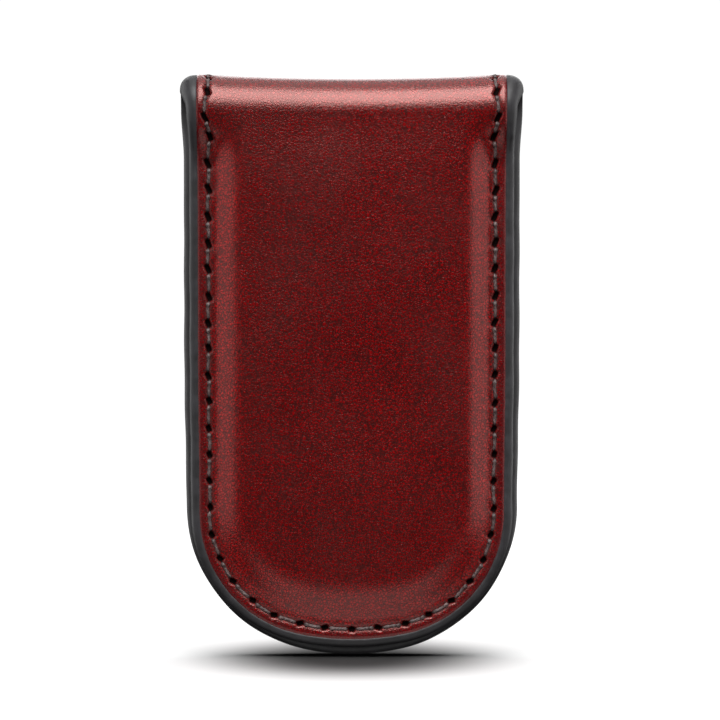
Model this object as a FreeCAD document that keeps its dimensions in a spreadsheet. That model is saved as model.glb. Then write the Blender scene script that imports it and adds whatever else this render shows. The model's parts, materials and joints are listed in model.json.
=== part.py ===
"""Magnetic leather money clip: two padded leaves joined by a leather fold.

The clip stands on its rounded end with the fold on top.  +X is its width, +Y its depth (the
back leaf is on the +Y side) and +Z its height.  The origin is on the ground, at the middle of
the clip.  One leather strip and its lining run down the back leaf, over the fold and down the
front leaf.  The fold is cut into three links, so the clip can open leaf by leaf about it.
"""
import FreeCAD, Part
import math
import os

import Sketcher

Vector = FreeCAD.Vector
doc = FreeCAD.newDocument("money_clip")

# ---------------------------------------------------------------- driving dimensions, in mm
DIMENSIONS = [
    # alias, value, meaning
    ("half_width", 22.0, "half the width over the back leaf's painted edge"),
    ("ear_flare", 0.4, "how far the fold stands wider than the back leaf, each side"),
    ("front_inset", 0.8, "how much narrower the front leaf is, each side"),
    ("front_lift", 1.2, "height of the front leaf's rounded end above the back leaf's"),
    ("corner_radius", 19.5, "radius of the rounded end beside the sides"),
    ("toe_radius", 29.4, "radius of the rounded end at its middle"),
    ("fold_height", 72.0, "height of the fold's centre"),
    ("outer_thickness", 1.3, "thickness of the outer leather"),
    ("lining_thickness", 0.9, "thickness of the lining leather"),
    ("leaf_gap", 0.25, "distance from the middle plane to a leaf's lining"),
    ("board_thickness", 1.8, "thickness of the stiffener board and its magnets"),
    ("flare_length", 8.0, "height over which the layers spread from leaf to fold"),
    ("edge_width", 0.8, "width of the painted edge bead"),
    ("edge_round", 0.55, "rounding of the painted edge bead"),
    ("pad_half_width", 15.2, "half the width of the pad's flat top"),
    ("pad_base", 11.0, "height of the lower end of the pad's flat top"),
    ("pad_corner", 8.0, "corner radius of the pad's flat top"),
    ("pad_toe", 50.0, "lower end radius of the pad's flat top"),
    ("foot_half_width", 18.0, "half the width of the pad where its slope meets the flange"),
    ("foot_base", 4.6, "height of the lower end of the pad's slope"),
    ("foot_corner", 15.5, "corner radius of the pad's slope"),
    ("foot_toe", 25.4, "lower end radius of the pad's slope"),
    ("board_inset", 0.6, "distance from the pad's flat top in to the board"),
    ("board_top", 62.0, "height of the board's upper end"),
    ("magnet_length", 24.0, "length of a bar magnet, across the clip"),
    ("magnet_height", 10.0, "height of a bar magnet"),
    ("magnet_round", 0.4, "rounding of a bar magnet's corners"),
    ("lower_magnet", 21.0, "height of the lower magnet's centre"),
    ("upper_magnet", 44.0, "height of the upper magnet's centre"),
    ("seam_half_width", 18.7, "half the distance between the two side seams"),
    ("seam_base", 3.7, "height of the seam at the rounded end"),
    ("seam_corner", 16.2, "seam radius beside the sides"),
    ("seam_toe", 26.1, "seam radius at the middle of the rounded end"),
    ("thread_radius", 0.25, "radius of the sewing thread on the outer leather"),
    ("under_thread", 0.15, "radius of the sewing thread on the lining"),
    ("stitch_length", 2.5, "visible length of one stitch"),
    ("stitch_pitch", 3.45, "distance from stitch to stitch"),
    ("link_angle", 45.0, "angle of one fold link, in degrees"),
    ("link_clearance", 0.3, "angle left free at each end of a link, in degrees"),
]
LINK_COUNT = 3
LEAF_SHARE = 0.5  # part of a link's angle by which each leaf reaches into the fold

sheet = doc.addObject("Spreadsheet::Sheet", "Sizes")
for row, (alias, number, meaning) in enumerate(DIMENSIONS, start=1):
    sheet.set("A%d" % row, meaning)
    sheet.set("B%d" % row, str(number))
    sheet.setAlias("B%d" % row, alias)
doc.recompute()

LAYERS = "(Sizes.lining_thickness + Sizes.outer_thickness)"
LINING_FACE = "(Sizes.leaf_gap + Sizes.lining_thickness)"
FLANGE_FACE = "(Sizes.leaf_gap + %s)" % LAYERS
INNER_RADIUS = "(Sizes.leaf_gap + Sizes.board_thickness)"
LINING_RADIUS = "(%s + Sizes.lining_thickness)" % INNER_RADIUS
OUTER_RADIUS = "(%s + %s)" % (INNER_RADIUS, LAYERS)
FLARE_DEPTH = "(%s - Sizes.leaf_gap)" % INNER_RADIUS
FLARE_RADIUS = "((Sizes.flare_length^2 + %s^2) / (4 * %s))" % (FLARE_DEPTH, FLARE_DEPTH)
REACH_ANGLE = "(Sizes.link_angle * %s - Sizes.link_clearance)" % LEAF_SHARE


def value(expression):
    """Number that an expression over the sheet comes to."""
    result = sheet.evalExpression(expression)
    return float(getattr(result, "Value", result))


def outline(half_width, base, corner, toe):
    """Expressions of one arch: straight sides, a corner arc each side and a toe arc."""
    return {"half_width": half_width, "base": base, "corner": corner, "toe": toe}


def inset(arch, distance):
    """Expressions of the arch that runs inside another at a fixed distance."""
    return {
        "half_width": "(%s - %s)" % (arch["half_width"], distance),
        "base": "(%s + %s)" % (arch["base"], distance),
        "corner": "(%s - %s)" % (arch["corner"], distance),
        "toe": "(%s - %s)" % (arch["toe"], distance),
    }


def arch_numbers(arch):
    """Sizes of an arch: half width, corner and toe radius, corner and toe height, turn."""
    half_width, corner, toe = (value(arch[key]) for key in ("half_width", "corner", "toe"))
    toe_height = value(arch["base"]) + toe
    turn = math.acos((half_width - corner) / (toe - corner))
    corner_height = toe_height - (toe - corner) * math.sin(turn)
    return half_width, corner, toe, corner_height, toe_height, turn


BACK_OUTLINE = outline("Sizes.half_width", "0", "Sizes.corner_radius", "Sizes.toe_radius")
FRONT_OUTLINE = outline(
    "(Sizes.half_width - Sizes.front_inset)",
    "Sizes.front_lift",
    "(Sizes.corner_radius - Sizes.front_inset)",
    "(Sizes.toe_radius - Sizes.front_inset)",
)
PAD_TOP = outline("Sizes.pad_half_width", "Sizes.pad_base", "Sizes.pad_corner", "Sizes.pad_toe")
PAD_FOOT = outline("Sizes.foot_half_width", "Sizes.foot_base", "Sizes.foot_corner", "Sizes.foot_toe")
BOARD = inset(PAD_TOP, "Sizes.board_inset")
SEAM = outline("Sizes.seam_half_width", "Sizes.seam_base", "Sizes.seam_corner", "Sizes.seam_toe")


# ---------------------------------------------------------------- sketches
def new_body(label):
    body = doc.addObject("PartDesign::Body", label)
    body.Label = label
    return body


def origin_plane(body, role):
    return next(plane for plane in body.Origin.OriginFeatures if plane.Role == role)


def new_sketch(body, name, role, offset=None):
    """Sketch on one of the body's origin planes, moved along that plane's normal by offset."""
    sketch = body.newObject("Sketcher::SketchObject", body.Name + "_" + name)
    sketch.AttachmentSupport = [(origin_plane(body, role), "")]
    sketch.MapMode = "FlatFace"
    if offset is not None:
        sketch.setExpression(".AttachmentOffset.Base.z", offset)
    return sketch


def bind(sketch, constraint, name, expression):
    """Add a driving constraint that follows the sheet."""
    index = sketch.addConstraint(constraint)
    sketch.renameConstraint(index, name)
    sketch.setExpression("Constraints." + name, expression)


def arc(centre_x, centre_y, radius, start, end):
    circle = Part.Circle(Vector(centre_x, centre_y, 0), Vector(0, 0, 1), radius)
    return Part.ArcOfCircle(circle, start, end)


def line(x1, y1, x2, y2):
    return Part.LineSegment(Vector(x1, y1, 0), Vector(x2, y2, 0))


def draw_rounded_end(sketch, arch):
    """Corner arc, toe arc and corner arc, tangent to each other and to upright sides."""
    half_width, corner, toe, corner_height, toe_height, turn = arch_numbers(arch)
    reach = half_width - corner
    right = sketch.addGeometry(arc(reach, corner_height, corner, -turn, 0))
    middle = sketch.addGeometry(arc(0, toe_height, toe, math.pi + turn, 2 * math.pi - turn))
    left = sketch.addGeometry(arc(-reach, corner_height, corner, math.pi, math.pi + turn))
    sketch.addConstraint(Sketcher.Constraint("Tangent", right, 1, middle, 2))
    sketch.addConstraint(Sketcher.Constraint("Tangent", middle, 1, left, 2))
    sketch.addConstraint(Sketcher.Constraint("PointOnObject", middle, 3, -2))
    sketch.addConstraint(Sketcher.Constraint("Equal", right, left))
    bind(sketch, Sketcher.Constraint("Radius", right, corner), "corner", arch["corner"])
    bind(sketch, Sketcher.Constraint("Radius", middle, toe), "toe", arch["toe"])
    centre = "%s + %s" % (arch["base"], arch["toe"])
    bind(sketch, Sketcher.Constraint("DistanceY", -1, 1, middle, 3, toe_height), "toe_centre", centre)
    return right, middle, left


def draw_arch(sketch, arch, top):
    """Closed arch: the rounded end, two upright sides and a level top."""
    half_width, corner, toe, corner_height, toe_height, turn = arch_numbers(arch)
    height = value(top)
    right, middle, left = draw_rounded_end(sketch, arch)
    side = sketch.addGeometry(line(half_width, height, half_width, corner_height))
    other = sketch.addGeometry(line(-half_width, corner_height, -half_width, height))
    cap = sketch.addGeometry(line(-half_width, height, half_width, height))
    sketch.addConstraint(Sketcher.Constraint("Tangent", side, 2, right, 2))
    sketch.addConstraint(Sketcher.Constraint("Tangent", left, 1, other, 1))
    sketch.addConstraint(Sketcher.Constraint("Coincident", other, 2, cap, 1))
    sketch.addConstraint(Sketcher.Constraint("Coincident", cap, 2, side, 1))
    sketch.addConstraint(Sketcher.Constraint("Vertical", side))
    sketch.addConstraint(Sketcher.Constraint("Vertical", other))
    sketch.addConstraint(Sketcher.Constraint("Horizontal", cap))
    bind(sketch, Sketcher.Constraint("DistanceX", -1, 1, side, 1, half_width), "right_side",
         arch["half_width"])
    bind(sketch, Sketcher.Constraint("DistanceX", other, 2, -1, 1, half_width), "left_side",
         arch["half_width"])
    bind(sketch, Sketcher.Constraint("DistanceY", -1, 1, cap, 1, height), "top", top)


def draw_rectangle(sketch, left, right, low, high, name="box"):
    """Closed rectangle between four expressions, all measured from the origin."""
    x1, x2, y1, y2 = (value(expression) for expression in (left, right, low, high))
    corners = [(x1, y1), (x2, y1), (x2, y2), (x1, y2)]
    sides = []
    for (ax, ay), (bx, by) in zip(corners, corners[1:] + corners[:1]):
        sides.append(sketch.addGeometry(line(ax, ay, bx, by)))
    for first, second in zip(sides, sides[1:] + sides[:1]):
        sketch.addConstraint(Sketcher.Constraint("Coincident", first, 2, second, 1))
    for index, direction in enumerate(("Horizontal", "Vertical", "Horizontal", "Vertical")):
        sketch.addConstraint(Sketcher.Constraint(direction, sides[index]))
    for kind, point, number, expression, label in (
        ("DistanceX", (sides[0], 1), x1, left, "left"),
        ("DistanceX", (sides[1], 1), x2, right, "right"),
        ("DistanceY", (sides[0], 1), y1, low, "low"),
        ("DistanceY", (sides[2], 1), y2, high, "high"),
    ):
        constraint = Sketcher.Constraint(kind, -1, 1, point[0], point[1], number)
        bind(sketch, constraint, name + "_" + label, expression)


def draw_bead(sketch, inner, outer, low, high, name="bead"):
    """Section of a painted edge: a rectangle with its two outer corners rounded."""
    x1, x2, y1, y2 = (value(expression) for expression in (inner, outer, low, high))
    radius = value("Sizes.edge_round")
    bend = x2 - radius
    half = math.pi / 2
    geometry = [
        line(x1, y1, bend, y1),
        arc(bend, y1 + radius, radius, -half, 0),
        line(x2, y1 + radius, x2, y2 - radius),
        arc(bend, y2 - radius, radius, 0, half),
        line(bend, y2, x1, y2),
        line(x1, y2, x1, y1),
    ]
    bottom, low_arc, side, high_arc, top, back = (sketch.addGeometry(item) for item in geometry)
    for first, second in ((bottom, low_arc), (low_arc, side), (side, high_arc), (high_arc, top)):
        sketch.addConstraint(Sketcher.Constraint("Tangent", first, 2, second, 1))
    sketch.addConstraint(Sketcher.Constraint("Coincident", top, 2, back, 1))
    sketch.addConstraint(Sketcher.Constraint("Coincident", back, 2, bottom, 1))
    sketch.addConstraint(Sketcher.Constraint("Horizontal", bottom))
    sketch.addConstraint(Sketcher.Constraint("Vertical", back))
    sketch.addConstraint(Sketcher.Constraint("Horizontal", top))
    sketch.addConstraint(Sketcher.Constraint("Equal", low_arc, high_arc))
    bind(sketch, Sketcher.Constraint("Radius", low_arc, radius), name + "_round", "Sizes.edge_round")
    for kind, item, number, expression, label in (
        ("DistanceX", back, x1, inner, "inner"),
        ("DistanceX", side, x2, outer, "outer"),
        ("DistanceY", bottom, y1, low, "low"),
        ("DistanceY", top, y2, high, "high"),
    ):
        bind(sketch, Sketcher.Constraint(kind, -1, 1, item, 1, number), name + "_" + label, expression)


def draw_layer_path(sketch, start_height):
    """Side view of a leaf's inner face: straight, then an S-bend out to the fold's inner arc."""
    gap = value("Sizes.leaf_gap")
    radius = value(FLARE_RADIUS)
    inner = value(INNER_RADIUS)
    centre = value("Sizes.fold_height")
    bend_start = centre - value("Sizes.flare_length")
    turn = 2 * math.atan(value(FLARE_DEPTH) / value("Sizes.flare_length"))
    reach = math.radians(value(REACH_ANGLE))
    start = value(start_height)
    straight = sketch.addGeometry(line(gap, start, gap, bend_start))
    out = sketch.addGeometry(arc(gap + radius, bend_start, radius, math.pi - turn, math.pi))
    back = sketch.addGeometry(arc(inner - radius, centre, radius, -turn, 0))
    fold = sketch.addGeometry(arc(0, centre, inner, 0, reach))
    sketch.addConstraint(Sketcher.Constraint("Vertical", straight))
    sketch.addConstraint(Sketcher.Constraint("Tangent", straight, 2, out, 2))
    sketch.addConstraint(Sketcher.Constraint("Tangent", out, 1, back, 1))
    sketch.addConstraint(Sketcher.Constraint("Tangent", back, 2, fold, 1))
    sketch.addConstraint(Sketcher.Constraint("Equal", out, back))
    sketch.addConstraint(Sketcher.Constraint("PointOnObject", fold, 3, -2))
    for kind, items, number, expression, name in (
        ("DistanceX", (-1, 1, straight, 1), gap, "Sizes.leaf_gap", "gap"),
        ("DistanceY", (-1, 1, straight, 1), start, start_height, "start"),
        ("DistanceY", (straight, 2, fold, 3), centre - bend_start, "Sizes.flare_length", "flare"),
        ("DistanceY", (-1, 1, fold, 3), centre, "Sizes.fold_height", "centre"),
        ("DistanceY", (-1, 1, back, 3), centre, "Sizes.fold_height", "level"),
        ("Radius", (fold,), inner, INNER_RADIUS, "inner"),
    ):
        bind(sketch, Sketcher.Constraint(kind, *items, number), name, expression)
    foot = sketch.addGeometry(line(0, centre, inner * math.cos(reach), inner * math.sin(reach) + centre))
    sketch.toggleConstruction(foot)
    sketch.addConstraint(Sketcher.Constraint("Coincident", foot, 1, fold, 3))
    sketch.addConstraint(Sketcher.Constraint("Coincident", foot, 2, fold, 2))
    bind(sketch, Sketcher.Constraint("Angle", -1, 1, foot, 1, reach), "reach", REACH_ANGLE + " * 1 deg")


# ---------------------------------------------------------------- features
def pad_sketch(body, sketch, length):
    pad = body.newObject("PartDesign::Pad", sketch.Name + "_pad")
    pad.Profile = sketch
    pad.setExpression("Length", length)
    return pad


def pipe(body, profile, path):
    feature = body.newObject("PartDesign::AdditivePipe", profile.Name + "_pipe")
    feature.Profile = profile
    feature.Spine = path
    return feature


def cut_both_ways(body, sketch):
    pocket = body.newObject("PartDesign::Pocket", sketch.Name + "_pocket")
    pocket.Profile = sketch
    pocket.Type = 1
    pocket.SideType = "Symmetric"
    return pocket


def turned_leaf(body, is_front):
    """The front leaf's parts are drawn like the back leaf's and turned half way round Z."""
    if is_front:
        body.Placement = FreeCAD.Placement(Vector(0, 0, 0), FreeCAD.Rotation(Vector(0, 0, 1), 180))
    return body


def leather_sheet(label, arch, low, high, is_front):
    """One leather layer of a leaf: a flat strip bent up into the fold and cut to the arch."""
    body = new_body(label)
    half_width = arch["half_width"]
    section = new_sketch(body, "section", "XY_Plane")
    draw_rectangle(section, "-1 * " + half_width, half_width, low, high)
    path = new_sketch(body, "path", "YZ_Plane")
    draw_layer_path(path, "0")
    pipe(body, section, path)
    trim = new_sketch(body, "trim", "XZ_Plane")
    draw_arch(trim, arch, "2 * Sizes.fold_height")
    draw_rectangle(trim, "-2 * Sizes.half_width", "2 * Sizes.half_width",
                   "-1 * Sizes.half_width", "3 * Sizes.fold_height", "frame")
    cut_both_ways(body, trim)
    return turned_leaf(body, is_front)


def add_pad(body):
    """Raise the moulded pad on the outer leather, clear of the lining, and hollow it for the board."""
    foot = new_sketch(body, "pad_foot", "XZ_Plane", "-1 * " + FLANGE_FACE)
    draw_arch(foot, PAD_FOOT, "Sizes.fold_height")
    top = new_sketch(body, "pad_top", "XZ_Plane", "-1 * (%s + Sizes.board_thickness)" % FLANGE_FACE)
    draw_arch(top, PAD_TOP, "Sizes.fold_height")
    loft = body.newObject("PartDesign::AdditiveLoft", body.Name + "_pad_loft")
    loft.Profile = foot
    loft.Sections = [top]
    loft.Ruled = True
    under = new_sketch(body, "under", "XY_Plane")
    draw_rectangle(under, "-1 * Sizes.half_width", "Sizes.half_width", "Sizes.leaf_gap", LINING_FACE)
    under_path = new_sketch(body, "under_path", "YZ_Plane")
    draw_layer_path(under_path, "0")
    room = body.newObject("PartDesign::SubtractivePipe", body.Name + "_lining_room")
    room.Profile = under
    room.Spine = under_path
    doc.recompute()
    volume = body.Shape.Volume
    hollow = new_sketch(body, "hollow", "XZ_Plane", "-1 * " + LINING_FACE)
    draw_arch(hollow, BOARD, "Sizes.board_top")
    pocket = body.newObject("PartDesign::Pocket", body.Name + "_hollow_pocket")
    pocket.Profile = hollow
    pocket.setExpression("Length", "Sizes.board_thickness")
    doc.recompute()
    if body.Shape.Volume > volume - Part.Face(hollow.Shape).Area * value("Sizes.board_thickness") * 0.99:
        raise RuntimeError("the board's hollow is not cut out of the pad")


def painted_edge(label, arch, is_front):
    """Rounded bead round a leaf: along the rounded end, then up both sides into the fold."""
    body = new_body(label)
    half_width, corner, toe, corner_height, toe_height, turn = arch_numbers(arch)
    reach = "(%s - %s)" % (arch["half_width"], arch["corner"])
    drop = "sqrt((%s - %s)^2 - %s^2)" % (arch["toe"], arch["corner"], reach)
    start = "(%s + %s - %s)" % (arch["base"], arch["toe"], drop)
    inner = "(%s - Sizes.edge_width)" % arch["half_width"]
    section = new_sketch(body, "section", "XY_Plane", start)
    draw_bead(section, inner, arch["half_width"], "Sizes.leaf_gap", FLANGE_FACE)
    end = new_sketch(body, "rounded_end", "XZ_Plane")
    right, middle, left = draw_rounded_end(end, arch)
    bind(end, Sketcher.Constraint("DistanceX", -1, 1, right, 3, half_width - corner), "reach", reach)
    for side, point in ((right, 2), (left, 1)):
        end.addConstraint(Sketcher.Constraint("DistanceY", -1, 1, side, point, corner_height))
    pipe(body, section, end)
    side_section = new_sketch(body, "side_section", "XY_Plane", start)
    draw_bead(side_section, inner, arch["half_width"], "Sizes.leaf_gap", FLANGE_FACE)
    side_path = new_sketch(body, "side_path", "YZ_Plane")
    draw_layer_path(side_path, start)
    side = pipe(body, side_section, side_path)
    other = body.newObject("PartDesign::Mirrored", body.Name + "_other_side")
    other.Originals = [side]
    other.MirrorPlane = (origin_plane(body, "YZ_Plane"), [""])
    body.Tip = other
    return turned_leaf(body, is_front)


def stiffener_board(label, is_front):
    """Flat board between lining and pad, with a window for each magnet."""
    body = new_body(label)
    face = "-1 * " + LINING_FACE
    shape = new_sketch(body, "shape", "XZ_Plane", face)
    draw_arch(shape, BOARD, "Sizes.board_top")
    pad = pad_sketch(body, shape, "Sizes.board_thickness")
    pad.Reversed = True
    for name in ("lower_magnet", "upper_magnet"):
        window = new_sketch(body, name + "_window", "XZ_Plane", face)
        centre = "Sizes." + name
        draw_rectangle(window, "-0.5 * Sizes.magnet_length", "0.5 * Sizes.magnet_length",
                       centre + " - 0.5 * Sizes.magnet_height", centre + " + 0.5 * Sizes.magnet_height")
        cut_both_ways(body, window)
    return turned_leaf(body, is_front)


def bar_magnet(label, centre, is_front):
    """Block magnet that fills one window of the board."""
    body = new_body(label)
    sketch = new_sketch(body, "shape", "XZ_Plane", "-1 * " + LINING_FACE)
    draw_rectangle(sketch, "-0.5 * Sizes.magnet_length", "0.5 * Sizes.magnet_length",
                   centre + " - 0.5 * Sizes.magnet_height", centre + " + 0.5 * Sizes.magnet_height")
    pad = pad_sketch(body, sketch, "Sizes.board_thickness")
    pad.Reversed = True
    doc.recompute()
    corners = []
    for index, edge in enumerate(pad.Shape.Edges, start=1):
        direction = edge.tangentAt(edge.FirstParameter)
        if abs(direction.y) > 0.99:
            corners.append("Edge%d" % index)
    fillet = body.newObject("PartDesign::Fillet", body.Name + "_corners")
    fillet.Base = (pad, corners)
    fillet.setExpression("Radius", "Sizes.magnet_round")
    return turned_leaf(body, is_front)


# ---------------------------------------------------------------- fold links
def link_placement(index):
    """Place a link, drawn from the +Y side upwards about the X axis, at its turn of the fold."""
    share = LEAF_SHARE + index
    angle = value("Sizes.link_angle * %s + Sizes.link_clearance" % share)
    return FreeCAD.Placement(Vector(0, 0, value("Sizes.fold_height")),
                             FreeCAD.Rotation(Vector(1, 0, 0), angle))


def revolve(body, sketch, angle):
    """Turn a section drawn on the XY plane about the X axis, from +Y towards +Z."""
    feature = body.newObject("PartDesign::Revolution", sketch.Name + "_turn")
    feature.Profile = sketch
    feature.ReferenceAxis = (sketch, ["H_Axis"])
    feature.setExpression("Angle", angle)
    return feature


LINK_SWEEP = "(Sizes.link_angle - 2 * Sizes.link_clearance)"


def link_leather(label, index, low, high):
    """Part of one leather layer that covers one link of the fold."""
    body = new_body(label)
    half_width = "(Sizes.half_width + Sizes.ear_flare - Sizes.edge_width)"
    section = new_sketch(body, "section", "XY_Plane")
    draw_rectangle(section, "-1 * " + half_width, half_width, low, high)
    revolve(body, section, LINK_SWEEP)
    body.Placement = link_placement(index)
    return body


def link_edge(label, index):
    """Painted edge beads at both sides of one link."""
    body = new_body(label)
    outer = "(Sizes.half_width + Sizes.ear_flare)"
    section = new_sketch(body, "section", "XY_Plane")
    draw_bead(section, "(%s - Sizes.edge_width)" % outer, outer, INNER_RADIUS, OUTER_RADIUS)
    side = revolve(body, section, LINK_SWEEP)
    body.AllowCompound = True
    other = body.newObject("PartDesign::Mirrored", body.Name + "_other_side")
    other.Originals = [side]
    other.MirrorPlane = (origin_plane(body, "YZ_Plane"), [""])
    body.Tip = other
    body.Placement = link_placement(index)
    return body


def set_shape(label, shape, placement):
    """Sub-part whose shape comes from Part's functions."""
    feature = doc.addObject("Part::Feature", label)
    feature.Label = label
    feature.Shape = shape
    feature.Placement = placement
    return feature


def curved_stitch(x, radius, thread, outward):
    """Stitch that follows the fold: half a torus round the X axis, on one leather face."""
    sweep = value("Sizes.stitch_length") / value(OUTER_RADIUS)
    start = math.radians(value(LINK_SWEEP)) / 2 - sweep / 2
    side = 1 if outward else -1
    first = Vector(x - thread, radius, 0)
    middle = Vector(x, radius + side * thread, 0)
    last = Vector(x + thread, radius, 0)
    half_round = Part.Wire([Part.Arc(first, middle, last).toShape(), Part.makeLine(last, first)])
    solid = Part.Face(half_round).revolve(Vector(0, 0, 0), Vector(1, 0, 0), math.degrees(sweep))
    solid.rotate(Vector(0, 0, 0), Vector(1, 0, 0), math.degrees(start))
    return solid


def link_stitches(label, index):
    """One stitch of each side seam on the link's outer face, and one under it on the lining."""
    seam = value("Sizes.seam_half_width")
    stitches = []
    for x in (-seam, seam):
        stitches.append(curved_stitch(x, value(OUTER_RADIUS), value("Sizes.thread_radius"), True))
        stitches.append(curved_stitch(x, value(INNER_RADIUS), value("Sizes.under_thread"), False))
    return set_shape(label, Part.makeCompound(stitches), link_placement(index))


# ---------------------------------------------------------------- leaf stitches
def seam_lead():
    """Angle by which a leaf's own seam reaches into the fold."""
    return math.radians(value(REACH_ANGLE))


def seam_path(offset):
    """Wire that the seam follows on one face of a leaf, at an offset from the lining's face.

    It runs from the leaf's end in the fold down the +X side, round the rounded end and up again.
    """
    half_width, corner, toe, corner_height, toe_height, turn = arch_numbers(SEAM)
    gap = value("Sizes.leaf_gap")
    centre = value("Sizes.fold_height")
    bend_start = centre - value("Sizes.flare_length")
    radius = value(FLARE_RADIUS)
    bend = 2 * math.atan(value(FLARE_DEPTH) / value("Sizes.flare_length"))
    depth = gap + offset

    def on_upper_bend(angle):
        reach = radius + offset
        inner = value(INNER_RADIUS)
        return inner - radius + reach * math.cos(angle), centre + reach * math.sin(angle)

    def on_lower_bend(angle):
        reach = radius - offset
        return gap + radius + reach * math.cos(angle), bend_start + reach * math.sin(angle)

    def on_fold(angle):
        reach = value(INNER_RADIUS) + offset
        return reach * math.cos(angle), centre + reach * math.sin(angle)

    def side(x):
        fold = [Vector(x, *on_fold(seam_lead() * share)) for share in (1, 0.5, 0)]
        upper = [Vector(x, *on_upper_bend(-bend * share)) for share in (0, 0.5, 1)]
        lower = [Vector(x, *on_lower_bend(math.pi - bend * share)) for share in (1, 0.5, 0)]
        arcs = [Part.Arc(*points).toShape() for points in (fold, upper, lower)]
        return arcs + [Part.makeLine(lower[2], Vector(x, depth, corner_height))]

    def end_arc(centre_x, height, size, angles):
        points = []
        for angle in angles:
            points.append(Vector(centre_x + size * math.cos(angle), depth, height + size * math.sin(angle)))
        return Part.Arc(*points).toShape()

    reach = half_width - corner
    down = -math.pi / 2
    rounded_end = [
        end_arc(reach, corner_height, corner, (0, -turn / 2, -turn)),
        end_arc(0, toe_height, toe, (-turn, down, -math.pi + turn)),
        end_arc(-reach, corner_height, corner, (-math.pi + turn, -math.pi + turn / 2, -math.pi)),
    ]
    return Part.Wire(side(half_width) + rounded_end + side(-half_width)[::-1])


def point_along(wire, distance):
    """Point of a wire at a distance along it."""
    for edge in wire.OrderedEdges:
        if distance <= edge.Length:
            span = edge.Length
            if edge.Orientation == "Reversed":
                distance = span - distance
            return edge.valueAt(edge.getParameterByLength(max(0.0, min(span, distance))))
        distance -= edge.Length
    return edge.valueAt(edge.LastParameter)


def straight_stitch(start, end, middle, face_normal, thread):
    """Half-round stitch lying on a face: its flat side is on the chord, or above a hollow."""
    along = end - start
    length = along.Length
    along.normalize()
    across = along.cross(face_normal)
    across.normalize()
    up = across.cross(along)
    lift = max(0.0, (middle - start).dot(up))
    base = start + up * lift
    first = base - across * thread
    last = base + across * thread
    profile = Part.Wire([Part.Arc(first, base + up * thread, last).toShape(), Part.makeLine(last, first)])
    return Part.Face(profile).extrude(along * length)


def leaf_stitches(label, on_outside, is_front):
    """All stitches of one leaf on its outer leather or on its lining, evenly spaced."""
    offset = value(LAYERS) if on_outside else 0.0
    thread = value("Sizes.thread_radius" if on_outside else "Sizes.under_thread")
    outward = 1 if on_outside else -1
    wire = seam_path(offset)
    half = value("Sizes.stitch_length") / 2
    lead = seam_lead() * (value(INNER_RADIUS) + offset)
    count = round((wire.Length - 2 * lead) / value("Sizes.stitch_pitch"))
    pitch = (wire.Length - 2 * lead) / count
    stitches = []
    for index in range(count + 1):
        distance = lead + index * pitch
        start, middle, end = (point_along(wire, distance + shift) for shift in (-half, 0, half))
        normal = Vector(0, outward, 0)
        stitches.append(straight_stitch(start, end, middle, normal, thread))
    placement = FreeCAD.Placement()
    if is_front:
        placement = FreeCAD.Placement(Vector(0, 0, 0), FreeCAD.Rotation(Vector(0, 0, 1), 180))
    return set_shape(label, Part.makeCompound(stitches), placement)


# ---------------------------------------------------------------- the assembly
parts = []
for leaf, arch, is_front in (("back", BACK_OUTLINE, False), ("front", FRONT_OUTLINE, True)):
    leather_arch = inset(arch, "Sizes.edge_width")
    parts.append(leather_sheet(leaf + "_lining", leather_arch, "Sizes.leaf_gap", LINING_FACE, is_front))
    outer_leather = leather_sheet(leaf + "_outer_leather", leather_arch, LINING_FACE, FLANGE_FACE, is_front)
    add_pad(outer_leather)
    parts.append(outer_leather)
    parts.append(painted_edge(leaf + "_painted_edge", arch, is_front))
    parts.append(stiffener_board(leaf + "_stiffener_board", is_front))
    for level in ("lower_magnet", "upper_magnet"):
        parts.append(bar_magnet(leaf + "_" + level, "Sizes." + level, is_front))
    parts.append(leaf_stitches(leaf + "_outer_stitches", True, is_front))
    parts.append(leaf_stitches(leaf + "_lining_stitches", False, is_front))

for index in range(LINK_COUNT):
    link = "fold_%d" % (index + 1)
    parts.append(link_leather(link + "_lining", index, INNER_RADIUS, LINING_RADIUS))
    parts.append(link_leather(link + "_outer_leather", index, LINING_RADIUS, OUTER_RADIUS))
    parts.append(link_edge(link + "_painted_edge", index))
    parts.append(link_stitches(link + "_stitches", index))

# ---------------------------------------------------------------- checks and files
doc.recompute()
for item in doc.Objects:
    if "Invalid" in item.State or "Error" in item.State:
        raise RuntimeError("%s did not compute: %s" % (item.Name, item.State))
for part in parts:
    if part.Shape.isNull() or not part.Shape.isValid() or not part.Shape.Solids:
        raise RuntimeError("%s has no valid solid" % part.Label)

os.makedirs("parts", exist_ok=True)
for part in parts:
    part.Shape.exportStep(os.path.join("parts", part.Label + ".step"))
    box = part.Shape.BoundBox
    print("%-26s %3d solids %9.2f mm3  x %6.2f %6.2f  y %6.2f %6.2f  z %6.2f %6.2f" % (
        part.Label, len(part.Shape.Solids), part.Shape.Volume,
        box.XMin, box.XMax, box.YMin, box.YMax, box.ZMin, box.ZMax))
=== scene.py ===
"""Magnetic leather money clip: its looks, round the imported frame.

The leather, the lining, the painted edge and the seam are each built as one folded strip, then
cut into four at the middle of every fold link, where the strip moves stiffly. Sizes are in
millimetres until a mesh is made.
"""

import json
import math

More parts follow.
